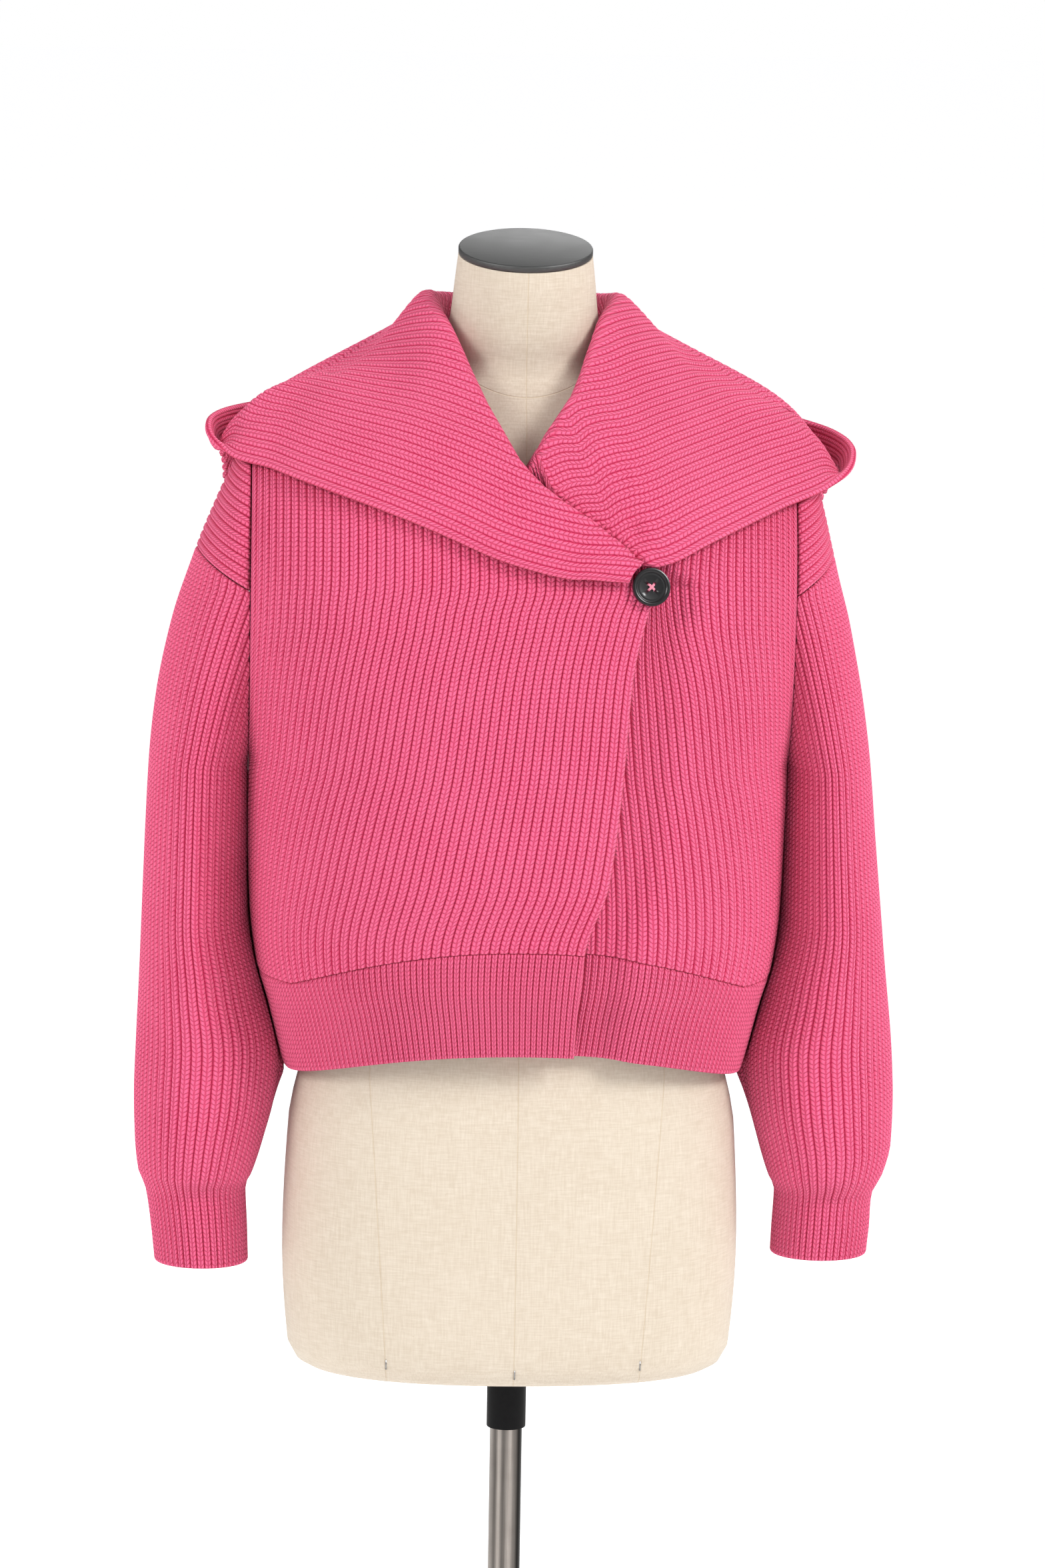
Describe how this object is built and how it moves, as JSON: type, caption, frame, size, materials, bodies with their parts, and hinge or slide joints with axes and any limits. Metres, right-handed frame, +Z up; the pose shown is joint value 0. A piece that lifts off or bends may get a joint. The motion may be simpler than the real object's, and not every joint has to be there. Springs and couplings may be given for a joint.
{
  "type": "hooded wrap cardigan on a dress form and stand",
  "caption": "Cropped rib-knit wrap cardigan with a wide laid-down hood and a large button, worn by a limbless linen dress form on a pole stand with a round base.",
  "frame": {"origin": "on the floor, at the middle of the base plate's underside, on the axis of the pole", "axes": "+Z up along the pole; -Y is the way the front faces; +X is the wearer's left"},
  "size_m": [0.5862, 0.36, 1.5583],
  "materials": {
    "knit": "soft brushed wool, chunky rib",
    "linen": "plain woven linen, matt",
    "steel": "brushed",
    "black": "polished"
  },
  "bodies": {
    "stand": {"base": "steel", "pole": "steel", "pole_collar": "black"},
    "form": {"form_body": "linen", "neck_cap": "steel", "front_right": "knit", "front_left": "knit", "back": "knit", "yoke_right": "knit", "yoke_left": "knit", "sleeve_right": "knit", "sleeve_left": "knit", "hood_right": "knit", "hood_left": "knit", "button": "black"}
  },
  "joints": [
    {"name": "form_swivel", "type": "hinge", "parent": "stand", "child": "form", "pos_m": [0, 0, 0.68], "axis": [0, 0, 1], "continuous": true}
  ]
}
